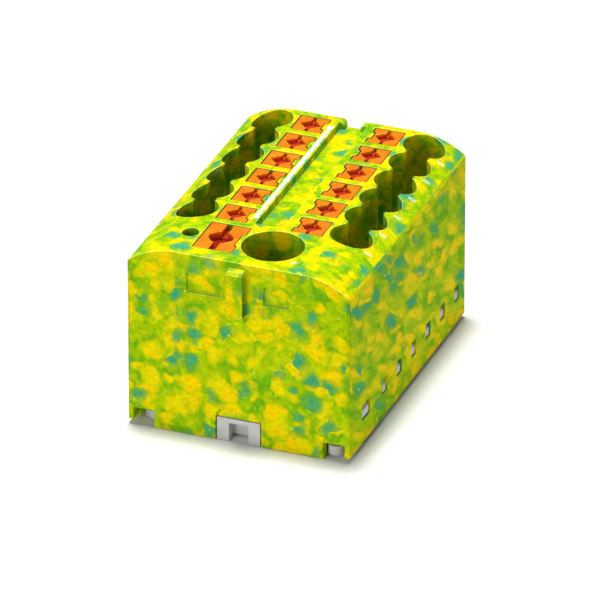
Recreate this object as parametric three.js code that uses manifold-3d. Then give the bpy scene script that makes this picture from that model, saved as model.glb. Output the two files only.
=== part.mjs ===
// A push-in distribution block: one feed terminal in front, two rows of six branch terminals behind it,
// all on one copper bus bar. X is the block's width, Y runs from the front face to the back, Z is up.
// The origin is the centre of the box round the block, on the plane it stands on. Units are millimetres.
import * as THREE from "three";
import { mergeVertices } from "three/addons/utils/BufferGeometryUtils.js";
import Module from "manifold-3d";

const wasm = await Module();
wasm.setup();

// Overall size
const WIDTH = 28.6;
const BODY_LENGTH = 39.9;
const HEIGHT = 24.5;
const RIB_REACH = 1.2;
const FRONT = -(BODY_LENGTH + RIB_REACH) / 2 + RIB_REACH;
const BACK = FRONT + BODY_LENGTH;
const SIDE = WIDTH / 2;

// Branch terminals
const PER_ROW = 6;
const PITCH = 5;
const FIRST_Y = FRONT + 11.95;
const ENTRY_X = 9.9;
const ENTRY_R = 2.6;
const ENTRY_SLOT = 2.75;
const ENTRY_FLOOR = 12;
const WIRE_R = 1.9;
const LEAF = 0.35;

// Feed terminal
const FEED_Y = FRONT + 5.6;
const FEED_X = 2.33;
const FEED_R = 3.85;
const FEED_WIRE_R = 3.3;
const FEED_LEAF = 0.5;
const TEST_X = -8.25;
const TEST_R = 1.07;

// Levels and walls
const WALL = 1.2;
const SKIRT = 0.6;
const PLATE_TOP = 1.6;
const BUS_BOTTOM = 1.65;
const BUS_TOP = 2.45;
const RIB_BOTTOM = 2.6;
const CEILING = 10.6;
const ABOVE = HEIGHT + 1;
const BELOW = -1;
const CUT = 0.1;
const CORE_ROOF = 20.5;
const CORNER_R = 0.3;

// The room under the feed terminal, and the opening in each end wall that shows the base cover
const FEED_ROOM = { left: -9.5, right: 7.3, front: FEED_Y - 4, back: FEED_Y + 3.6 };
const END_OPENING = { left: -3, right: 2.9, top: 3.3 };
const HOOK_ROOM = { left: -1.3, right: 1.2, top: 2.45 };
const UNDERCUT = 0.35;

// Buttons
const BUTTON_TOP = HEIGHT - 0.05;
const GAP = 0.13;
const BUTTON = { inner: 2.98, outer: 6.75, half: 1.85, bite: 0.4, biteHalf: 0.8, slant: 0.2 };
const FEED_BUTTON = { inner: -1.8, outer: -6.7, half: 3.27, bite: 0.4, biteHalf: 1.45, slant: 0.25 };

// ---------------------------------------------------------------- solids from three.js shapes

function solidOf(geometry) {
  geometry.deleteAttribute("normal");
  geometry.deleteAttribute("uv");
  const merged = mergeVertices(geometry, 1e-4);
  const vertProperties = merged.attributes.position.array;
  const triVerts = new Uint32Array(merged.index.array);
  return new wasm.Manifold(new wasm.Mesh({ numProp: 3, vertProperties, triVerts }));
}

function meshOf(name, solid, material) {
  const made = solid.getMesh();
  const geometry = new THREE.BufferGeometry();
  geometry.setAttribute("position", new THREE.BufferAttribute(made.vertProperties, 3));
  geometry.setIndex(new THREE.BufferAttribute(made.triVerts, 1));
  geometry.computeVertexNormals();
  const mesh = new THREE.Mesh(geometry, material);
  mesh.name = name;
  return mesh;
}

function block(x0, x1, y0, y1, z0, z1) {
  const geometry = new THREE.BoxGeometry(Math.abs(x1 - x0), y1 - y0, z1 - z0);
  geometry.translate((x0 + x1) / 2, (y0 + y1) / 2, (z0 + z1) / 2);
  return solidOf(geometry);
}

function post(x, y, radius, z0, z1, sides) {
  const geometry = new THREE.CylinderGeometry(radius, radius, z1 - z0, sides);
  geometry.rotateX(Math.PI / 2);
  geometry.translate(x, y, (z0 + z1) / 2);
  return solidOf(geometry);
}

// An outline in the XY plane, raised from z0 to z1.
function raised(shape, z0, z1, curveSegments) {
  const geometry = new THREE.ExtrudeGeometry(shape, { depth: z1 - z0, bevelEnabled: false, curveSegments });
  geometry.translate(0, 0, z0);
  return solidOf(geometry);
}

// An outline in the XZ plane, carried from y0 to y1.
function carried(shape, y0, y1, curveSegments) {
  const geometry = new THREE.ExtrudeGeometry(shape, { depth: y1 - y0, bevelEnabled: false, curveSegments });
  geometry.rotateX(Math.PI / 2);
  geometry.translate(0, y1, 0);
  return solidOf(geometry);
}

// An outline in the YZ plane, carried from x0 to x1.
function across(shape, x0, x1) {
  const geometry = new THREE.ExtrudeGeometry(shape, { depth: x1 - x0, bevelEnabled: false });
  geometry.rotateX(Math.PI / 2);
  geometry.rotateZ(Math.PI / 2);
  geometry.translate(x0, 0, 0);
  return solidOf(geometry);
}

function polygon(points) {
  return new THREE.Shape(points.map(([u, v]) => new THREE.Vector2(u, v)));
}

// A polygon whose points are mirrored where side is -1, with its order kept turning the same way.
function sided(side, points) {
  const mirrored = points.map(([u, v]) => [side * u, v]);
  return polygon(side < 0 ? mirrored.reverse() : mirrored);
}

function joined(solids) {
  return solids.reduce((sum, next) => sum.add(next));
}

function cutFrom(solid, cutters) {
  return solid.subtract(joined(cutters));
}

const SIDES = [-1, 1];
const ROW_Y = Array.from({ length: PER_ROW }, (unused, i) => FIRST_Y + i * PITCH);

// ---------------------------------------------------------------- housing

// Flat on top, with a round shoulder down to each side wall.
function housingOutline() {
  const shoulderR = 10.5;
  const flat = 7.8;
  const reach = Math.asin((SIDE - 0.35 - flat) / shoulderR);
  const centre = HEIGHT - shoulderR;
  const edge = centre + shoulderR * Math.cos(reach);
  const shape = new THREE.Shape();
  shape.moveTo(-SIDE, 0);
  shape.lineTo(SIDE, 0);
  shape.lineTo(SIDE, edge - 0.75);
  shape.quadraticCurveTo(SIDE, edge - 0.27, SIDE - 0.35, edge);
  shape.absarc(flat, centre, shoulderR, Math.PI / 2 - reach, Math.PI / 2, false);
  shape.absarc(-flat, centre, shoulderR, Math.PI / 2, Math.PI / 2 + reach, false);
  shape.quadraticCurveTo(-SIDE, edge - 0.27, -SIDE, edge - 0.75);
  return shape;
}

function roundedPlan(radius) {
  const quarter = Math.PI / 2;
  const shape = new THREE.Shape();
  shape.absarc(SIDE - radius, BACK - radius, radius, 0, quarter, false);
  shape.absarc(-SIDE + radius, BACK - radius, radius, quarter, 2 * quarter, false);
  shape.absarc(-SIDE + radius, FRONT + radius, radius, 2 * quarter, 3 * quarter, false);
  shape.absarc(SIDE - radius, FRONT + radius, radius, 3 * quarter, 4 * quarter, false);
  return shape;
}

// The outline of one row's wells: six circles, run together by a straight slot through their middles.
function entryOutline(x) {
  const half = ENTRY_SLOT / 2;
  const open = Math.acos(half / ENTRY_R);
  const quarter = Math.PI / 2;
  const last = PER_ROW - 1;
  const shape = new THREE.Shape();
  ROW_Y.forEach((y, i) => {
    shape.absarc(x, y, ENTRY_R, i === 0 ? -quarter : -open, i === last ? quarter : open, false);
  });
  [...ROW_Y].reverse().forEach((y, i) => {
    const from = i === 0 ? quarter : Math.PI - open;
    const to = i === last ? 3 * quarter : Math.PI + open;
    shape.absarc(x, y, ENTRY_R, from, to, false);
  });
  return shape;
}

// The plan of a button, or of its shaft where room is the gap left all round.
// The edge that faces the bite is at inner, so a button may lie on either side of it.
function buttonPlan(size, side, y, room) {
  const out = Math.sign(size.outer - size.inner);
  const inner = size.inner - out * room;
  const outer = size.outer + out * room;
  const half = size.half + room;
  const tip = inner + out * size.bite;
  const points = [
    [inner, y - half],
    [outer, y - half],
    [outer, y + half],
    [inner, y + half],
    [inner, y + size.biteHalf + size.slant - room],
    [tip, y + size.biteHalf - room],
    [tip, y - size.biteHalf + room],
    [inner, y - size.biteHalf - size.slant + room],
  ];
  return sided(side * out, points.map(([u, v]) => [u * out, v]));
}

function latchWindows() {
  const low = 3.6;
  const high = 5.7;
  const feedHalf = 1.35;
  const branchHalf = 0.8;
  const inside = SIDE - WALL - CUT;
  const outside = SIDE + CUT;
  const windows = [FEED_Y, ...ROW_Y].map((y, i) => ({ y, half: i === 0 ? feedHalf : branchHalf }));
  return windows.flatMap(({ y, half }) =>
    SIDES.map((side) => block(side * inside, side * outside, y - half, y + half, low, high)),
  );
}

// One branch terminal: the button's shaft, a round relief at the back corner of its bite,
// the throat for the wire, the chamber for the spring, and the room for the base cover's latch.
function branchHollows(side, y) {
  const inner = 2.3;
  const outer = 12.15;
  const half = 1.95;
  const latchHalf = 1.05;
  const latchTop = 6;
  const low = RIB_BOTTOM - CUT;
  const reliefX = BUTTON.inner + 0.28;
  const reliefY = y + BUTTON.biteHalf;
  const reliefR = 0.27;
  return [
    raised(buttonPlan(BUTTON, side, y, GAP), CEILING - CUT, ABOVE),
    post(side * reliefX, reliefY, reliefR, CEILING - CUT, ABOVE, 12),
    post(side * ENTRY_X, y, WIRE_R, CEILING - CUT, ENTRY_FLOOR + CUT, 24),
    block(side * inner, side * outer, y - half, y + half, low, CEILING),
    block(side * (outer - CUT), side * (SIDE - WALL), y - latchHalf, y + latchHalf, low, latchTop),
  ];
}

function feedHollows() {
  return [
    raised(buttonPlan(FEED_BUTTON, 1, FEED_Y, GAP), CEILING - CUT, ABOVE),
    post(FEED_X, FEED_Y, FEED_R, ENTRY_FLOOR, ABOVE, 56),
    post(FEED_X, FEED_Y, FEED_WIRE_R, CEILING - CUT, ENTRY_FLOOR + CUT, 32),
    post(TEST_X, FEED_Y - 0.1, TEST_R, CEILING - CUT, ABOVE, 28),
    block(FEED_ROOM.left, FEED_ROOM.right, FEED_ROOM.front, FEED_ROOM.back, RIB_BOTTOM - CUT, CEILING),
  ];
}

// Hollows moulded in from below so that the walls stay even.
function cores() {
  const wall = 0.95;
  const low = RIB_BOTTOM - CUT;
  const middleHalf = 1.3;
  const middleRoof = 22;
  const { left, right, front, back } = FEED_ROOM;
  return [
    block(-middleHalf, middleHalf, FIRST_Y - 1.5, BACK - 3, low, middleRoof),
    block(-(SIDE - WALL), left - wall, front, back, low, CORE_ROOF),
    block(right + wall, SIDE - WALL, front, back, low, CORE_ROOF),
  ];
}

// The notch that lets a marker strip slide in from the back, with its top corners rounded off.
function notchOutline(floor) {
  const left = -1.15;
  const right = 0.9;
  const radius = 0.6;
  const shoulder = HEIGHT - radius;
  const shape = new THREE.Shape();
  shape.moveTo(left, floor);
  shape.lineTo(right, floor);
  shape.lineTo(right, shoulder);
  shape.absarc(right + radius, shoulder, radius, Math.PI, Math.PI / 2, true);
  shape.lineTo(right + radius, ABOVE);
  shape.lineTo(left - radius, ABOVE);
  shape.lineTo(left - radius, HEIGHT);
  shape.absarc(left - radius, shoulder, radius, Math.PI / 2, 0, true);
  return shape;
}

function markerGroove() {
  const floor = HEIGHT - 1.1;
  const half = 1.8;
  const front = FEED_Y + 4.7;
  const back = BACK - 1.15;
  return [
    block(-half, half, front, back, floor, ABOVE),
    carried(notchOutline(floor), back - CUT, BACK + CUT, 5),
  ];
}

function frontPockets() {
  const low = 19.4;
  const high = 22;
  const depth = 0.3;
  return [
    block(-6.65, -2.4, FRONT - CUT, FRONT + depth, low, high),
    block(3.2, 6.4, FRONT - CUT, FRONT + depth, low, high - 0.1),
  ];
}

function frontRib() {
  const half = 1;
  const x = -0.1;
  const side = [
    [FRONT + CUT, 16.4],
    [FRONT, 16.4],
    [FRONT - RIB_REACH, 17.7],
    [FRONT - RIB_REACH, 23.3],
    [FRONT - RIB_REACH + 0.4, 23.7],
    [FRONT + CUT, 23.7],
  ];
  return across(polygon([...side].reverse()), x - half, x + half);
}

// The rib is cored from its right side, so that only a thin strap stands in front of the hollow.
function ribCore() {
  const strap = 0.35;
  return block(-0.5, 1, FRONT - RIB_REACH + strap, FRONT, 17.6, 22.9);
}

// The base shows through one opening and two corner notches at each end.
function endOpenings() {
  const { left, right, top } = END_OPENING;
  const depth = 2.5;
  const notchInner = 10.9;
  const notchOuter = 13.6;
  const notchTop = 2.25;
  const notches = [
    [FRONT - CUT, FRONT + WALL + CUT],
    [BACK - WALL - CUT, BACK + CUT],
  ];
  return [
    block(left, right, FRONT - CUT, FRONT + depth, BELOW, top),
    block(left, right, BACK - depth, BACK + CUT, BELOW, top),
    ...notches.flatMap(([y0, y1]) => [
      block(-notchOuter, -notchInner, y0, y1, BELOW, notchTop),
      block(notchInner, notchOuter, y0, y1, BELOW, notchTop),
    ]),
  ];
}

function skirtCuts() {
  const inside = SIDE - WALL - CUT;
  const outside = SIDE + CUT;
  return SIDES.map((side) =>
    block(side * inside, side * outside, FRONT - CUT, BACK + CUT, BELOW, SKIRT));
}

function housing() {
  const shell = carried(housingOutline(), FRONT, BACK, 10)
    .intersect(raised(roundedPlan(CORNER_R), BELOW, ABOVE, 5))
    .add(frontRib());
  const basePocket = block(-(SIDE - WALL), SIDE - WALL, FRONT + WALL, BACK - WALL, BELOW, RIB_BOTTOM);
  const wells = SIDES.map((side) => raised(entryOutline(side * ENTRY_X), ENTRY_FLOOR, ABOVE, 14));
  const branches = SIDES.flatMap((side) => ROW_Y.flatMap((y) => branchHollows(side, y)));
  return cutFrom(shell, [
    basePocket,
    ...wells,
    ...branches,
    ...feedHollows(),
    ...cores(),
    ...latchWindows(),
    ...markerGroove(),
    ...frontPockets(),
    ribCore(),
    ...endOpenings(),
    ...skirtCuts(),
  ]);
}

// ---------------------------------------------------------------- base cover

// A finger with a nose that snaps outwards into a window of the housing.
function latch(side, y, half) {
  const points = [
    [12.4, PLATE_TOP - CUT],
    [12.95, PLATE_TOP - CUT],
    [12.95, 3.7],
    [14.1, 3.7],
    [14.1, 4.7],
    [13.6, 5],
    [12.95, 5.3],
    [12.4, 5.3],
  ];
  return carried(sided(side, points), y - half, y + half);
}

// The end block that fills the middle opening, hollowed so that a rail adapter's hook can catch it.
function endBlock(y0, y1) {
  const room = 0.15;
  return block(END_OPENING.left + room, END_OPENING.right - room, y0, y1, 0, END_OPENING.top - 0.2);
}

// The room for a hook, with an undercut below its inner wall. It opens at y0 and ends at y1.
function hookRoom(y0, y1) {
  const deeper = y1 + Math.sign(y1 - y0) * 0.6;
  const low = Math.min(y0, y1);
  const high = Math.max(y0, y1);
  return [
    block(HOOK_ROOM.left, HOOK_ROOM.right, low, high, BELOW, HOOK_ROOM.top),
    block(HOOK_ROOM.left, HOOK_ROOM.right, Math.min(y0, deeper), Math.max(y0, deeper), BELOW, UNDERCUT),
  ];
}

// A round foot that looks out through a corner notch, clear of the plane the block stands on.
function peg(x, y) {
  return post(x, y, 1.05, UNDERCUT, PLATE_TOP, 28);
}

// The plate is cut back behind each corner notch.
function plateCorners() {
  const inner = 10.4;
  const outer = 13.3;
  const depth = 2.3;
  return SIDES.flatMap((side) => [
    block(side * inner, side * outer, FRONT, FRONT + depth, BELOW, PLATE_TOP + CUT),
    block(side * inner, side * outer, BACK - depth, BACK, BELOW, PLATE_TOP + CUT),
  ]);
}

// Shallow pans in the underside, with ribs left standing between them.
function pans() {
  const depth = 0.5;
  const inner = 1.9;
  const outer = 10.3;
  const half = 4.8;
  const step = 10.9;
  return [-1, 0, 1].flatMap((row) => {
    const y = row * step + (FRONT + BACK) / 2;
    return SIDES.map((side) => block(side * inner, side * outer, y - half, y + half, BELOW, depth));
  });
}

function baseCover() {
  const blockDepth = 2.2;
  const hookDepth = 1.4;
  const front = FRONT + 0.1;
  const back = BACK - 0.1;
  const plateSide = 12.95;
  const plateEnd = WALL + 0.15;
  const feedLatchHalf = 1.25;
  const branchLatchHalf = 0.7;
  const pegs = [
    peg(12, FRONT + 1.7),
    peg(-11.3, FRONT + 2.35),
    peg(12, BACK - 1.7),
    peg(-12, BACK - 1.7),
  ];
  const latches = SIDES.flatMap((side) => [
    latch(side, FEED_Y, feedLatchHalf),
    ...ROW_Y.map((y) => latch(side, y, branchLatchHalf)),
  ]);
  const plate = block(-plateSide, plateSide, FRONT + plateEnd, BACK - plateEnd, 0, PLATE_TOP);
  const whole = joined([
    cutFrom(plate, plateCorners()),
    endBlock(front, front + blockDepth),
    endBlock(back - blockDepth, back),
    ...pegs,
    ...latches,
  ]);
  return cutFrom(whole, [
    ...hookRoom(front - CUT, front + hookDepth),
    ...hookRoom(back + CUT, back - hookDepth),
    ...pans(),
  ]);
}

// ---------------------------------------------------------------- bus bar

// One plate under all terminals, with an upright contact tab at each of them.
function busBar() {
  const tab = 0.8;
  const tabHalf = 1.65;
  const tabTop = 8.6;
  const reach = 11.95;
  const feedLeft = -7;
  const feedRight = 7.1;
  const feedTabTop = 9.4;
  const frontEnd = FIRST_Y - 1.8;
  const backEnd = ROW_Y[PER_ROW - 1] + 1.7;
  const tabs = SIDES.flatMap((side) =>
    ROW_Y.map((y) =>
      block(side * (reach - tab), side * reach, y - tabHalf, y + tabHalf, BUS_TOP - CUT, tabTop)),
  );
  const whole = joined([
    block(-reach, reach, frontEnd, backEnd, BUS_BOTTOM, BUS_TOP),
    block(feedLeft, feedRight, FRONT + 2.65, frontEnd + CUT, BUS_BOTTOM, BUS_TOP),
    block(feedRight - tab, feedRight, FEED_Y - 2.9, FEED_Y + 3.1, BUS_TOP - CUT, feedTabTop),
    ...tabs,
  ]);
  const clearance = 0.3;
  const clearOfEndBlock = block(
    END_OPENING.left - clearance,
    END_OPENING.right + clearance,
    BACK - 2.6,
    BACK,
    BELOW,
    BUS_TOP + 1,
  );
  return cutFrom(whole, [clearOfEndBlock]);
}

// ---------------------------------------------------------------- clamping springs

// A bent leaf: a foot along the bus bar, a half-round loop, and a clamping leg that slopes to its tip.
// The outline is the centre line moved half the leaf's thickness to each side.
function leafOutline(side, foot, loopX, loopR, low, tip, thickness) {
  const centreZ = low + loopR;
  const slope = Math.atan2(centreZ + loopR - tip[1], tip[0] - loopX);
  const turn = Math.PI - slope;
  const steps = 12;
  const line = [[foot, low]];
  for (let i = 0; i <= steps; i += 1) {
    const angle = -Math.PI / 2 - (turn * i) / steps;
    line.push([loopX + loopR * Math.cos(angle), centreZ + loopR * Math.sin(angle)]);
  }
  line.push(tip);
  const half = thickness / 2;
  const offset = (sign) =>
    line.map(([x, z], i) => {
      const before = line[Math.max(i - 1, 0)];
      const after = line[Math.min(i + 1, line.length - 1)];
      const dx = after[0] - before[0];
      const dz = after[1] - before[1];
      const length = Math.hypot(dx, dz);
      return [x - (sign * half * dz) / length, z + (sign * half * dx) / length];
    });
  return sided(side, [...offset(1), ...offset(-1).reverse()]);
}

function branchSpring(side, y) {
  const half = 1.6;
  const outline = leafOutline(side, 8.8, 5.05, 2.5, BUS_TOP + 0.25, [10.9, 5.1], LEAF);
  return carried(outline, y - half, y + half);
}

function feedSpring() {
  const half = 2.8;
  const outline = leafOutline(1, 3.5, -4.3, 2.6, BUS_TOP + 0.32, [6, 4.8], FEED_LEAF);
  return carried(outline, FEED_Y - half, FEED_Y + half);
}

// ---------------------------------------------------------------- release buttons

// The side view of a button: a block in its shaft, a nib under the ceiling, and a finger on the spring.
function branchButtonSide(side) {
  const { inner, outer } = BUTTON;
  const nib = inner - 0.5;
  const nibTop = CEILING - 0.1;
  const foot = 8.15;
  const finger = 5.9;
  return sided(side, [
    [inner, BUTTON_TOP],
    [inner, nibTop],
    [nib, nibTop],
    [nib, 9.3],
    [inner, 8.8],
    [inner, foot],
    [finger, foot],
    [finger, 7.68],
    [outer, 7.32],
    [outer, BUTTON_TOP],
  ]);
}

function feedButtonSide() {
  const { inner, outer } = FEED_BUTTON;
  const nib = outer - 0.55;
  const nibTop = CEILING - 0.1;
  const foot = 8.5;
  const finger = -2.9;
  return polygon([
    [outer, BUTTON_TOP],
    [outer, nibTop],
    [nib, nibTop],
    [nib, 9.4],
    [outer, 8.9],
    [outer, foot],
    [finger, foot],
    [finger, 7.98],
    [inner, 7.66],
    [inner, BUTTON_TOP],
  ]);
}

// A screwdriver well: a pocket with one slot along the button and a shorter one across it.
function well(x, y, pocket, along, lobes) {
  const top = BUTTON_TOP + CUT;
  return [
    pocket,
    block(x - along.half, x + along.half, y - along.reach, y + along.reach, BUTTON_TOP - along.depth, top),
    block(x - lobes.reach, x + lobes.reach, y - lobes.half, y + lobes.half, BUTTON_TOP - lobes.depth, top),
  ];
}

function branchWell(x, y) {
  const radius = 1;
  const depth = 0.75;
  const pocket = post(x, y, radius, BUTTON_TOP - depth, BUTTON_TOP + CUT, 24);
  const along = { half: 0.24, reach: BUTTON.half + 1, depth: 0.5 };
  const lobes = { half: 0.3, reach: 1.25, depth: 0.6 };
  return well(x, y, pocket, along, lobes);
}

function feedWell(x, y) {
  const depth = 1.15;
  const wide = 1.3;
  const corner = 0.7;
  const cross = [
    [-wide, -corner],
    [-corner, -wide],
    [corner, -wide],
    [wide, -corner],
    [wide, corner],
    [corner, wide],
    [-corner, wide],
    [-wide, corner],
  ];
  const outline = polygon(cross.map(([u, v]) => [x + u, y + v]));
  const pocket = raised(outline, BUTTON_TOP - depth, BUTTON_TOP + CUT);
  const along = { half: 0.42, reach: FEED_BUTTON.half + 1, depth: 0.85 };
  const lobes = { half: 0.5, reach: 1.55, depth: 1 };
  return well(x, y, pocket, along, lobes);
}

function branchButton(side, y) {
  const { inner, outer, half, biteHalf, slant } = BUTTON;
  const nibReach = 0.6;
  const middle = biteHalf + slant;
  const plan = raised(buttonPlan(BUTTON, side, y, 0), 0, ABOVE);
  const nibs = block(side * (inner - nibReach), side * (inner + CUT), y - half, y + half, 0, CEILING);
  const between = block(side * (inner - 1), side * (inner + CUT), y - middle, y + middle, 0, ABOVE);
  const envelope = plan.add(nibs.subtract(between));
  const full = carried(branchButtonSide(side), y - half, y + half);
  return cutFrom(full.intersect(envelope), branchWell((side * (inner + outer)) / 2, y));
}

function feedButton() {
  const { inner, outer, half } = FEED_BUTTON;
  const nibReach = 0.6;
  const wellX = (inner + outer) / 2 - 0.1;
  const plan = raised(buttonPlan(FEED_BUTTON, 1, FEED_Y, 0), 0, ABOVE);
  const nib = block(outer - nibReach, outer + CUT, FEED_Y - half, FEED_Y + half, 0, CEILING);
  const full = carried(feedButtonSide(), FEED_Y - half, FEED_Y + half);
  return cutFrom(full.intersect(plan.add(nib)), feedWell(wellX, FEED_Y));
}

// ---------------------------------------------------------------- materials

function plastic(colour, roughness) {
  return new THREE.MeshStandardMaterial({ color: colour, roughness, metalness: 0 });
}

function metal(colour, roughness) {
  return new THREE.MeshStandardMaterial({ color: colour, roughness, metalness: 1 });
}

const housingPlastic = () => plastic(0xb4cc14, 0.42);
const basePlastic = () => plastic(0xbebcbe, 0.5);
const buttonPlastic = () => plastic(0xf07a1e, 0.4);
const tinnedCopper = () => metal(0xc9b8a4, 0.35);
const springSteel = () => metal(0xb9bcc0, 0.28);

// ---------------------------------------------------------------- assembly

function distributionBlock() {
  const group = new THREE.Group();
  group.name = "distribution_block";
  group.add(meshOf("housing", housing(), housingPlastic()));
  group.add(meshOf("base_cover", baseCover(), basePlastic()));
  group.add(meshOf("bus_bar", busBar(), tinnedCopper()));
  group.add(meshOf("feed_spring", feedSpring(), springSteel()));
  group.add(meshOf("feed_button", feedButton(), buttonPlastic()));
  SIDES.forEach((side) => {
    const row = side < 0 ? "left" : "right";
    ROW_Y.forEach((y, i) => {
      group.add(meshOf(`spring_${row}_${i + 1}`, branchSpring(side, y), springSteel()));
      group.add(meshOf(`button_${row}_${i + 1}`, branchButton(side, y), buttonPlastic()));
    });
  });
  return group;
}

export default distributionBlock();
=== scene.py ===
"""A green and yellow push-in distribution block, shown on a pale floor.

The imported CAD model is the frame. The pieces that show are rebuilt from its nodes with rounded edges, and
each rides on the body of the node that it stands for. White print is added on top of the housing. The feed
end is the low end of Y. Lengths are in metres, apart from those in the materials, which are in millimetres.
"""
import math

import bmesh
import bpy
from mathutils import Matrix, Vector


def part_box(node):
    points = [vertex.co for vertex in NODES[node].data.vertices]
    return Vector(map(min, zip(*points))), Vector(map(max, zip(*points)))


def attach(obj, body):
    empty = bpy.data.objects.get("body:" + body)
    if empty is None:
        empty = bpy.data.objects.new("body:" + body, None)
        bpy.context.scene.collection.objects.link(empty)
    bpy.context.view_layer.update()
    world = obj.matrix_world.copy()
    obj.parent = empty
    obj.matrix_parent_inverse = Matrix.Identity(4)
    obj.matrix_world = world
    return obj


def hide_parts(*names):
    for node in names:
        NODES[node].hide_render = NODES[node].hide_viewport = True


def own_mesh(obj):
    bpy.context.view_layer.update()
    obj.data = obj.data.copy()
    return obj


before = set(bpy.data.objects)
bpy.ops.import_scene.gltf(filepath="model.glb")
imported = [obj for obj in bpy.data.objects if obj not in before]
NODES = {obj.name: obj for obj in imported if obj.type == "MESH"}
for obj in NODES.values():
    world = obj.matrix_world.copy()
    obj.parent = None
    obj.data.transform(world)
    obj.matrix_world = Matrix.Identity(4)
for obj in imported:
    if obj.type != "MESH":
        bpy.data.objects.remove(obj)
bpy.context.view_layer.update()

MM = 0.001
ROWS = ("left", "right")
PLACES = range(1, 7)                 # the branch terminals of a row, counted from the feed end

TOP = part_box("housing")[1].z
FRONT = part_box("housing")[0].y       # the face of the rib at the feed end
FIRST_Y = (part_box("button_left_1")[0].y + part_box("button_left_1")[1].y) / 2
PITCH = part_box("button_left_2")[0].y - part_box("button_left_1")[0].y

SHOULDER_RADIUS = 10.5 * MM          # the arc from the flat top down to each side
SHOULDER_START = 7.8 * MM            # how far from the middle that arc begins
SHOULDER_ROUNDING = 0.45 * MM        # the softening where it meets the upright side
CLOSE = 0.02 * MM                    # near enough to be the same place

WELL_DEPTH = 1.5 * MM                # deeper below the top than the screwdriver well of any button

# The printed line runs on the land between the left buttons and the groove, with a knot at each terminal.
LINE_X = -2.3 * MM
LINE_HALF = 0.24 * MM                # half of its width
KNOT_HALF = 0.36 * MM                # the same at a knot, and half of the knot's length
INK = 0.015 * MM                     # how far print stands above the plastic, and reaches into it

# A printed tick lies at the outer front corner of each right branch entry, and one beside the feed entry.
TICK_LEFT, TICK_RIGHT = 12.35 * MM, 13.25 * MM
TICK_AHEAD = 1.95 * MM               # how far it lies in front of the middle of its terminal
FEED_TICK_LEFT, FEED_TICK_RIGHT, FEED_TICK_Y = 5.8 * MM, 6.6 * MM, -16.9 * MM
STROKE_SHIFTS = (-0.16 * MM, 0.16 * MM)
STROKE_HALF = 0.055 * MM             # half of the width of a stroke
TICK_STEPS = 4                       # a stroke follows the shoulder in this many straight steps


# ---------------------------------------------------------------- camera, light and floor

def view_axes(azimuth, elevation):
    """The directions right, up and forward of a level camera at these angles in degrees."""
    a, e = math.radians(azimuth), math.radians(elevation)
    right = Vector((math.cos(a), math.sin(a), 0))
    forward = Vector((-math.sin(a) * math.cos(e), math.cos(a) * math.cos(e), -math.sin(e)))
    return right, right.cross(forward), forward


def make_camera():
    """A long lens a little over a metre away, looking down on the feed end from the right."""
    azimuth, elevation = 21.02, 28.26
    distance, lens = 1.2728, 629.8
    near_middle = Vector((0, 0.65 * MM, 11.6 * MM))
    rightward, downward = 0.21 * MM, 1.84 * MM
    right, up, forward = view_axes(azimuth, elevation)
    aim = near_middle + right * rightward - up * downward
    data = bpy.data.cameras.new("camera")
    data.lens = lens
    data.sensor_width = 36
    data.clip_start, data.clip_end = 0.05, 20
    camera = bpy.data.objects.new("camera", data)
    camera.location = aim - forward * distance
    camera.rotation_mode = "QUATERNION"
    camera.rotation_quaternion = forward.to_track_quat("-Z", "Y")
    bpy.context.scene.collection.objects.link(camera)
    bpy.context.scene.camera = camera


def area_light(name, place, size, power):
    """A square soft box at place that faces the block."""
    data = bpy.data.lights.new(name, "AREA")
    data.shape = "SQUARE"
    data.size = size
    data.energy = power
    light = bpy.data.objects.new(name, data)
    light.location = place
    light.rotation_mode = "QUATERNION"
    aim = (Vector((0, 0, 0.01)) - Vector(place)).normalized()
    light.rotation_quaternion = aim.to_track_quat("-Z", "Y")
    bpy.context.scene.collection.objects.link(light)


def make_lights():
    """One strong light from above, and two weak ones from the front and the right."""
    area_light("overhead", place=(-0.045, 0.045, 0.80), size=0.17, power=7.9)
    area_light("front_fill", place=(-0.25, -0.72, 0.26), size=0.35, power=2.5)
    area_light("side_fill", place=(0.75, -0.05, 0.22), size=0.30, power=0.8)


def make_world():
    """An even white sky, dim beside the lights."""
    world = bpy.data.worlds.new("studio")
    world.use_nodes = True
    background = world.node_tree.nodes["Background"]
    background.inputs["Color"].default_value = (1, 1, 1, 1)
    background.inputs["Strength"].default_value = 0.10
    bpy.context.scene.world = world


def make_floor():
    """A matt white sheet, just clear of the underside."""
    width, gap = 6, 0.05 * MM
    bpy.ops.mesh.primitive_plane_add(size=width, location=(0, 0, -gap))
    floor = bpy.context.object
    floor.name = "floor"
    material = bpy.data.materials.new("floor_white")
    material.use_nodes = True
    shader = material.node_tree.nodes["Principled BSDF"]
    shader.inputs["Base Color"].default_value = (0.84, 0.84, 0.84, 1)
    shader.inputs["Roughness"].default_value = 0.9
    shader.inputs["Specular IOR Level"].default_value = 0.1
    floor.data.materials.append(material)


# ---------------------------------------------------------------- building materials

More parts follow.
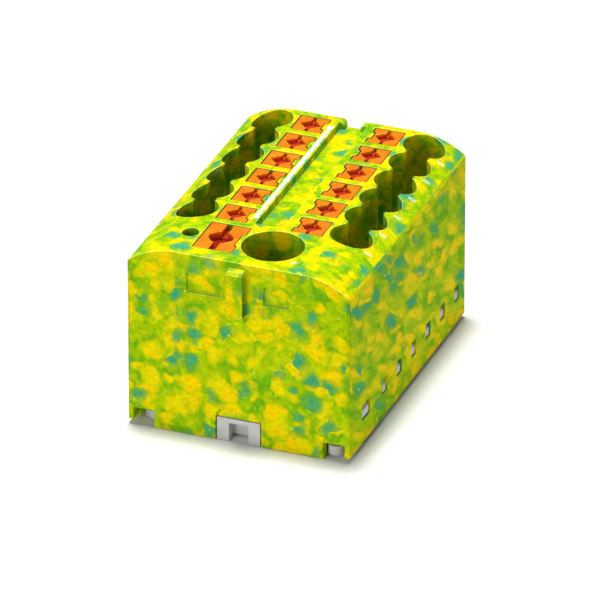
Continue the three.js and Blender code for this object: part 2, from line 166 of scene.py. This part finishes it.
class Look:
    """One material being built: its node tree, and short ways to add to it."""

    def __init__(self, name, roughness, specular, metallic=0.0):
        self.material = bpy.data.materials.new(name)
        self.material.use_nodes = True
        self.tree = self.material.node_tree
        self.shader = self.tree.nodes["Principled BSDF"]
        self.shader.inputs["Roughness"].default_value = roughness
        self.shader.inputs["Specular IOR Level"].default_value = specular
        self.shader.inputs["Metallic"].default_value = metallic
        place = self.tree.nodes.new("ShaderNodeTexCoord").outputs["Object"]
        self.place = self.scaled(place, (1 / MM,) * 3)

    def feed(self, socket, value):
        """Links a socket to another one, or sets it to a value."""
        if isinstance(value, bpy.types.NodeSocket):
            self.tree.links.new(value, socket)
        else:
            socket.default_value = value

    def vector(self, operation, *values):
        """The result of a vector sum or product."""
        node = self.tree.nodes.new("ShaderNodeVectorMath")
        node.operation = operation
        for socket, value in zip(node.inputs, values):
            self.feed(socket, value)
        return node.outputs["Vector"]

    def scaled(self, vector, factors):
        return self.vector("MULTIPLY", vector, factors)

    def moved(self, vector, offset):
        return self.vector("ADD", vector, offset)

    def part(self, vector, axis):
        """The X, Y or Z of a vector."""
        node = self.tree.nodes.new("ShaderNodeSeparateXYZ")
        self.feed(node.inputs[0], vector)
        return node.outputs[axis]

    def facing(self, axis):
        """How far a surface faces along an axis: 1 for a wall square to it, 0 for one beside it."""
        normal = self.tree.nodes.new("ShaderNodeNewGeometry").outputs["Normal"]
        return self.part(normal, axis)

    def calc(self, operation, *values):
        """The result of one step of arithmetic on plain numbers."""
        node = self.tree.nodes.new("ShaderNodeMath")
        node.operation = operation
        for socket, value in zip(node.inputs, values):
            self.feed(socket, value)
        return node.outputs[0]

    def noise(self, vector, per_mm, detail=2.0, colour=False):
        """Cloudy noise with this many swells per mm, as one number or as a colour of three."""
        node = self.tree.nodes.new("ShaderNodeTexNoise")
        self.feed(node.inputs["Vector"], vector)
        node.inputs["Scale"].default_value = per_mm
        node.inputs["Detail"].default_value = detail
        return node.outputs["Color" if colour else "Fac"]

    def cells(self, vector, width):
        """Cells about width mm across: the distance from each one's seed, and a random number for each."""
        node = self.tree.nodes.new("ShaderNodeTexVoronoi")
        self.feed(node.inputs["Vector"], vector)
        node.inputs["Scale"].default_value = 1 / width
        split = self.tree.nodes.new("ShaderNodeSeparateColor")
        self.feed(split.inputs[0], node.outputs["Color"])
        return node.outputs["Distance"], split.outputs[0]

    def fade(self, value, low, high):
        """A soft step: 0 where value is at low, 1 where it is at high. Low may be the larger of the two."""
        node = self.tree.nodes.new("ShaderNodeMapRange")
        node.interpolation_type = "SMOOTHSTEP"
        self.feed(node.inputs["Value"], value)
        node.inputs["From Min"].default_value = low
        node.inputs["From Max"].default_value = high
        return node.outputs["Result"]

    def spread(self, value, low, high):
        """A 0 to 1 value carried onto the range low to high."""
        node = self.tree.nodes.new("ShaderNodeMapRange")
        self.feed(node.inputs["Value"], value)
        node.inputs["To Min"].default_value = low
        node.inputs["To Max"].default_value = high
        return node.outputs["Result"]

    def mix(self, factor, first, second, blend="MIX"):
        """The first colour where factor is 0, and the second, blended as asked, where it is 1."""
        node = self.tree.nodes.new("ShaderNodeMix")
        node.data_type = "RGBA"
        node.blend_type = blend
        for socket, value in zip((node.inputs[0], node.inputs[6], node.inputs[7]), (factor, first, second)):
            if isinstance(value, tuple):
                value = (*value, 1)
            self.feed(socket, value)
        return node.outputs[2]

    def mottled(self, colour, per_mm, detail, darkest, lightest):
        """A colour made darker and lighter in small clouds."""
        mottle = self.spread(self.noise(self.place, per_mm, detail), darkest, lightest)
        return self.mix(1.0, colour, self.vector("MULTIPLY", (1, 1, 1), mottle), "MULTIPLY")

    def bump(self, height, depth_mm):
        """Fine relief, drawn by shading alone."""
        node = self.tree.nodes.new("ShaderNodeBump")
        node.inputs["Distance"].default_value = depth_mm * MM
        self.feed(node.inputs["Height"], height)
        self.feed(self.shader.inputs["Normal"], node.outputs["Normal"])

    def finish(self, colour, roughness):
        self.feed(self.shader.inputs["Base Color"], colour)
        self.feed(self.shader.inputs["Roughness"], roughness)
        return self.material


def drawn_along_sides(look):
    """The place on the block, with the pattern of the two outer side walls drawn out along them.

    The blobs are longer on those walls than elsewhere, and slope down away from the feed end.
    """
    longer, sloping = -0.5, 0.4
    outermost = look.fade(look.calc("ABSOLUTE", look.part(look.place, "X")), 13.7, 14.1)
    sideways = look.fade(look.calc("ABSOLUTE", look.facing("X")), 0.66, 0.90)
    on_side_wall = look.calc("MULTIPLY", outermost, sideways)
    from_front = look.part(look.moved(look.place, (0.0, -FRONT / MM, 0.0)), "Y")
    drawn_out = look.calc("MULTIPLY", on_side_wall, from_front)
    pull = look.tree.nodes.new("ShaderNodeCombineXYZ")
    look.feed(pull.inputs["Y"], look.calc("MULTIPLY", drawn_out, longer))
    look.feed(pull.inputs["Z"], look.calc("MULTIPLY", drawn_out, sloping))
    return look.vector("ADD", look.place, pull.outputs["Vector"])


def warped(look, place):
    """A place bent by slow and by quick noise, which makes round cells into uneven blobs."""
    slow_reach, quick_reach = 2.4, 0.75
    slow = look.noise(place, per_mm=0.42, detail=1.0, colour=True)
    quick = look.noise(place, per_mm=1.1, detail=1.5, colour=True)
    bent = look.vector("MULTIPLY_ADD", slow, (slow_reach,) * 3, place)
    return look.vector("MULTIPLY_ADD", quick, (quick_reach,) * 3, bent)


def marbled_plastic(name, edge_highlight):
    """Lime green plastic with soft-edged gold and blue-green blobs, right through the moulding.

    The last argument is how strongly a painted highlight makes the rounded edges that face up paler than the
    rest.
    """
    green, lime, light_lime = (0.16, 0.42, 0.006), (0.36, 0.55, 0.002), (0.54, 0.62, 0.003)
    gold, yellow = (0.86, 0.62, 0.001), (0.76, 0.66, 0.002)
    leaf_green, teal = (0.13, 0.40, 0.02), (0.050, 0.37, 0.18)
    fleck_colour, painted_highlight = (0.72, 0.80, 0.09), (0.80, 0.92, 0.22)
    look = Look(name, roughness=0.45, specular=0.3)
    look.shader.inputs["IOR"].default_value = 1.05
    bent = warped(look, drawn_along_sides(look))

    patch = look.noise(look.moved(bent, (5.0, 9.0, 2.0)), per_mm=0.62, detail=3.0)
    colour = look.mix(look.fade(patch, 0.34, 0.56), green, lime)
    colour = look.mix(look.fade(patch, 0.52, 0.70), colour, light_lime)

    # Gold and yellow blobs in two sizes. Share is the part of the cells that hold one.
    for width, offset, share in ((2.7, (0.0, 0.0, 0.0), 0.66), (1.8, (53.0, 29.0, 11.0), 0.50)):
        distance, chance = look.cells(look.moved(bent, offset), width)
        kept = look.fade(chance, share + 0.05, share - 0.05)
        blob = look.calc("MULTIPLY", look.fade(distance, 0.66, 0.24), kept)
        shade = look.mix(look.fade(chance, 0.2 * share, 0.8 * share), gold, yellow)
        colour = look.mix(blob, colour, shade)

    # Blue-green blobs, each in a wider leaf green halo.
    distance, chance = look.cells(look.moved(bent, (31.0, 17.0, 43.0)), 2.2)
    kept = look.fade(chance, 0.26, 0.20)
    halo = look.calc("MULTIPLY", look.fade(distance, 0.85, 0.25), kept)
    core = look.calc("MULTIPLY", look.fade(distance, 0.56, 0.06), kept)
    colour = look.mix(halo, colour, leaf_green)
    colour = look.mix(core, colour, teal)

    # Small pale flecks, about one and a half times as tall as they are wide. Their heights come partly from
    # the warped place and partly from the true one, so that they are less bent than the blobs.
    warped_share = look.scaled(look.moved(bent, (7.0, 3.0, 11.0)), (1.0, 1.0, 0.35))
    true_share = look.scaled(look.place, (0.0, 0.0, 0.3))
    distance, chance = look.cells(look.vector("ADD", warped_share, true_share), 0.95)
    fleck = look.calc("MULTIPLY", look.fade(distance, 0.20, 0.08), look.fade(chance, 0.20, 0.17))
    colour = look.mix(look.calc("MULTIPLY", fleck, 0.75), colour, fleck_colour)

    colour = look.mottled(colour, per_mm=2.3, detail=4.0, darkest=0.62, lightest=1.38)
    # Painted highlight: rounded edges that face up are made paler and greener, for the light that catches
    # them.
    if edge_highlight:
        highlight_mask = look.fade(look.facing("Z"), 0.25, 0.6)
        colour = look.mix(look.calc("MULTIPLY", highlight_mask, edge_highlight), colour, painted_highlight)
    look.bump(look.noise(look.place, per_mm=9.0, detail=3.0), depth_mm=0.012)
    return look.finish(colour, look.spread(look.noise(look.place, per_mm=1.1, detail=3.0), 0.38, 0.54))


def orange_plastic(name, shaded_wells):
    """Orange plastic, with painted shade in the screwdriver wells: darker and redder with depth."""
    orange, amber = (0.72, 0.175, 0.004), (0.78, 0.24, 0.006)
    shade_red, deep_shade_red = (0.56, 0.055, 0.006), (0.30, 0.012, 0.004)
    look = Look(name, roughness=0.42, specular=0.2)
    cloud = look.fade(look.noise(look.place, per_mm=0.6, detail=3.0), 0.35, 0.7)
    colour = look.mix(cloud, orange, amber)
    if shaded_wells:
        # Painted shade: the well is coloured darker and redder with depth below the top, for the shade and
        # red bounced light inside it.
        depth = look.part(look.moved(look.place, (0.0, 0.0, -TOP / MM)), "Z")
        colour = look.mix(look.fade(depth, -0.16, -0.42), colour, shade_red)
        colour = look.mix(look.fade(depth, -0.5, -1.2), colour, deep_shade_red)
    colour = look.mottled(colour, per_mm=2.6, detail=3.0, darkest=0.86, lightest=1.14)
    look.bump(look.noise(look.place, per_mm=9.0, detail=3.0), depth_mm=0.010)
    return look.finish(colour, look.spread(look.noise(look.place, per_mm=1.4, detail=3.0), 0.34, 0.50))


def grey_plastic():
    """Light grey plastic, cloudy and finely speckled."""
    grey, light_grey, speck_grey = (0.50, 0.50, 0.48), (0.58, 0.575, 0.56), (0.36, 0.36, 0.35)
    look = Look("base_plastic", roughness=0.5, specular=0.3)
    cloud = look.fade(look.noise(look.place, per_mm=0.35, detail=4.0), 0.3, 0.7)
    colour = look.mix(cloud, grey, light_grey)
    speck = look.fade(look.noise(look.place, per_mm=7.0, detail=2.0), 0.62, 0.72)
    colour = look.mix(look.calc("MULTIPLY", speck, 0.25), colour, speck_grey)
    look.bump(look.noise(look.place, per_mm=6.0, detail=4.0), depth_mm=0.015)
    return look.finish(colour, look.spread(look.noise(look.place, per_mm=1.0, detail=3.0), 0.42, 0.60))


def white_ink():
    """White print, thinner in places, where the green shows through a little."""
    thin, full = (0.84, 0.90, 0.62), (0.93, 0.95, 0.86)
    look = Look("white_ink", roughness=0.5, specular=0.3)
    cover = look.fade(look.noise(look.place, per_mm=2.5, detail=3.0), 0.36, 0.58)
    look.bump(look.noise(look.place, per_mm=7.0, detail=3.0), depth_mm=0.010)
    return look.finish(look.mix(cover, thin, full), look.spread(cover, 0.6, 0.42))


def tinned_copper():
    """Tin plate with rolling marks along it, and brown stains where the copper shows through."""
    tin, stained = (0.66, 0.62, 0.57), (0.52, 0.40, 0.30)
    look = Look("tinned_copper", roughness=0.35, specular=0.5, metallic=1.0)
    stain = look.fade(look.noise(look.place, per_mm=0.5, detail=4.0), 0.35, 0.75)
    rolled = look.noise(look.scaled(look.place, (6.0, 0.5, 6.0)), per_mm=1.0, detail=3.0)
    look.bump(rolled, depth_mm=0.012)
    return look.finish(look.mix(stain, tin, stained), look.spread(rolled, 0.26, 0.48))


def spring_steel():
    """Bright strip steel with rolling marks across the block, which is the way the springs run."""
    bright, tinted = (0.62, 0.62, 0.62), (0.50, 0.48, 0.45)
    look = Look("spring_steel", roughness=0.3, specular=0.5, metallic=1.0)
    tint = look.fade(look.noise(look.place, per_mm=0.8, detail=3.0), 0.35, 0.7)
    rolled = look.noise(look.scaled(look.place, (0.6, 7.0, 0.6)), per_mm=1.0, detail=3.0)
    look.bump(rolled, depth_mm=0.008)
    return look.finish(look.mix(tint, bright, tinted), look.spread(rolled, 0.20, 0.40))


marbled = marbled_plastic("housing_plastic", edge_highlight=0)
# The same plastic with a painted highlight, for the housing's rounded edges.
marbled_edge_highlight = marbled_plastic("housing_plastic_edge_highlight", edge_highlight=0.45)
orange_well_shaded = orange_plastic("button_top_plastic_well_shade", shaded_wells=True)
orange = orange_plastic("button_plastic", shaded_wells=False)
grey = grey_plastic()
white = white_ink()
copper = tinned_copper()
steel = spring_steel()


# ---------------------------------------------------------------- building pieces

def whole_faces(node):
    """A CAD node's surface with the triangles of each flat face run together again."""
    shape = bmesh.new()
    shape.from_mesh(NODES[node].data)
    bmesh.ops.remove_doubles(shape, verts=shape.verts, dist=0.0002 * MM)
    bmesh.ops.dissolve_limit(shape, angle_limit=math.radians(1), verts=shape.verts, edges=shape.edges)
    return shape


def rounded_shoulders(node):
    """The housing's surface with its round shoulders run softly into its two upright sides."""
    shape = whole_faces(node)
    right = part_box(node)[1].x
    ridge = max(v.co.z for v in shape.verts if right - v.co.x < CLOSE)
    edges = [edge for edge in shape.edges
             if all(abs(v.co.x) > right - CLOSE and abs(v.co.z - ridge) < CLOSE for v in edge.verts)]
    bmesh.ops.bevel(shape, geom=edges, offset=SHOULDER_ROUNDING, segments=4, profile=0.5, affect="EDGES",
                    clamp_overlap=True)
    return shape


def piece_from(shape, name, look, edge, segments=2, edge_look=None):
    """A piece in one material, with its sharp edges rounded to this width, in their own material if given."""
    mesh = bpy.data.meshes.new(name)
    shape.to_mesh(mesh)
    shape.free()
    mesh.shade_smooth()
    mesh.materials.append(look)
    if edge_look:
        mesh.materials.append(edge_look)
    piece = bpy.data.objects.new(name, mesh)
    bpy.context.scene.collection.objects.link(piece)
    rounding = piece.modifiers.new("rounded_edges", "BEVEL")
    rounding.width = edge
    rounding.segments = segments
    rounding.limit_method = "ANGLE"
    rounding.angle_limit = math.radians(32)
    rounding.miter_outer = "MITER_ARC"
    rounding.material = 1 if edge_look else -1
    rounding.use_clamp_overlap = False
    shading = piece.modifiers.new("even_shading", "WEIGHTED_NORMAL")
    shading.keep_sharp = True
    return piece


def stand_in(node, body, look, edge, segments=2, shape=None, edge_look=None):
    """A finished copy of a CAD node, or a given shape, that takes the node's place on screen."""
    piece = piece_from(shape or whole_faces(node), node + "_shown", look, edge, segments, edge_look)
    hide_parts(node)
    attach(piece, body)
    return piece


def first_moved_to(node, first):
    """The cleaned surface of the first node of a row, moved to where another node of the row stands."""
    shape = whole_faces(first)
    shift = Vector(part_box(node)[0]) - Vector(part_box(first)[0])
    bmesh.ops.translate(shape, verts=shape.verts, vec=shift)
    return shape


def button(node, shape=None):
    """A release button, with the material that has painted shade in its well on its top and in its well, and
    plain on its stem.
    """
    piece = stand_in(node, node, orange_well_shaded, edge=0.08 * MM, shape=shape)
    piece.data.materials.append(orange)
    for face in piece.data.polygons:
        face.material_index = 1 if face.center.z < TOP - WELL_DEPTH else 0


def spring(node, edge):
    """A clamping spring, which stands on the block.
    """
    piece = stand_in(node, "block", steel, edge, segments=1)
    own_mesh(piece)


def strip(name, line, half_width, half_thickness, look):
    """A thin strip laid flat along a line of points, which runs through the middle of it."""
    shape = bmesh.new()
    ends = []
    for i, point in enumerate(line):
        before, after = line[max(i - 1, 0)], line[min(i + 1, len(line) - 1)]
        along = (after - before).normalized()
        up = Vector((0, 0, 1)) - along * along.z
        up.normalize()
        beside = along.cross(up) * half_width
        rise = up * half_thickness
        corners = [point - beside - rise, point + beside - rise, point + beside + rise, point - beside + rise]
        ends.append([shape.verts.new(corner) for corner in corners])
    for first, second in zip(ends, ends[1:]):
        for k in range(4):
            shape.faces.new((first[k], second[k], second[(k + 1) % 4], first[(k + 1) % 4]))
    shape.faces.new(ends[0])
    shape.faces.new(ends[-1][::-1])
    bmesh.ops.recalc_face_normals(shape, faces=shape.faces)
    return piece_from(shape, name, look, 0.4 * half_thickness, segments=1)


def printed(piece):
    """Fixes a piece of print to the block, as the CAD has no ink."""
    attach(piece, "block")


def line_outline():
    """The outline of the printed line, from its front end along its right edge and back along its left."""
    right = []
    for i in range(len(PLACES)):
        for degrees in range(-90, 91, 15):
            angle = math.radians(degrees)
            bulge = (KNOT_HALF - LINE_HALF) * math.cos(angle)
            right.append((LINE_HALF + bulge, FIRST_Y + PITCH * i + KNOT_HALF * math.sin(angle)))
    left = [(-x, y) for x, y in reversed(right)]
    return [Vector((LINE_X + x, y, TOP)) for x, y in right + left]


def printed_line():
    """The line itself: its outline below and above the face of the plastic, joined by a wall."""
    shape = bmesh.new()
    low_ring = [shape.verts.new(point - Vector((0, 0, INK))) for point in line_outline()]
    high_ring = [shape.verts.new(point + Vector((0, 0, INK))) for point in line_outline()]
    shape.faces.new(low_ring[::-1])
    shape.faces.new(high_ring)
    for i, corner in enumerate(low_ring):
        after = (i + 1) % len(low_ring)
        shape.faces.new((corner, low_ring[after], high_ring[after], high_ring[i]))
    bmesh.ops.recalc_face_normals(shape, faces=shape.faces)
    printed(piece_from(shape, "printed_line", white, 0.005 * MM, segments=1))


def shoulder_height(x):
    """The height of the housing's top at x, on the flat or on a round shoulder."""
    out = max(abs(x) - SHOULDER_START, 0)
    return TOP - SHOULDER_RADIUS + math.sqrt(SHOULDER_RADIUS ** 2 - out ** 2)


def printed_tick(name, left, right, y):
    """Two short strokes side by side across the block from left to right, as a plain position mark."""
    for stroke, shift in enumerate(STROKE_SHIFTS, start=1):
        line = []
        for step in range(TICK_STEPS + 1):
            x = left + (right - left) * step / TICK_STEPS
            line.append(Vector((x, y + shift, shoulder_height(x))))
        printed(strip(f"{name}_{stroke}", line, STROKE_HALF, INK, white))


# ---------------------------------------------------------------- the scene

make_camera()
make_world()
make_lights()
make_floor()
bpy.context.scene.view_settings.view_transform = "Standard"

stand_in("housing", "block", marbled, edge=0.08 * MM,
         shape=rounded_shoulders("housing"), edge_look=marbled_edge_highlight)
stand_in("base_cover", "block", grey, edge=0.07 * MM)
stand_in("bus_bar", "block", copper, edge=0.08 * MM)

button("feed_button")
spring("feed_spring", edge=0.06 * MM)
for row in ROWS:
    for i in PLACES:
        button(f"button_{row}_{i}", shape=first_moved_to(f"button_{row}_{i}", f"button_{row}_1"))
        spring(f"spring_{row}_{i}", edge=0.05 * MM)

printed_line()
for i in PLACES:
    printed_tick(f"printed_tick_{i}", TICK_LEFT, TICK_RIGHT, FIRST_Y + PITCH * (i - 1) - TICK_AHEAD)
printed_tick("printed_tick_feed", FEED_TICK_LEFT, FEED_TICK_RIGHT, FEED_TICK_Y)
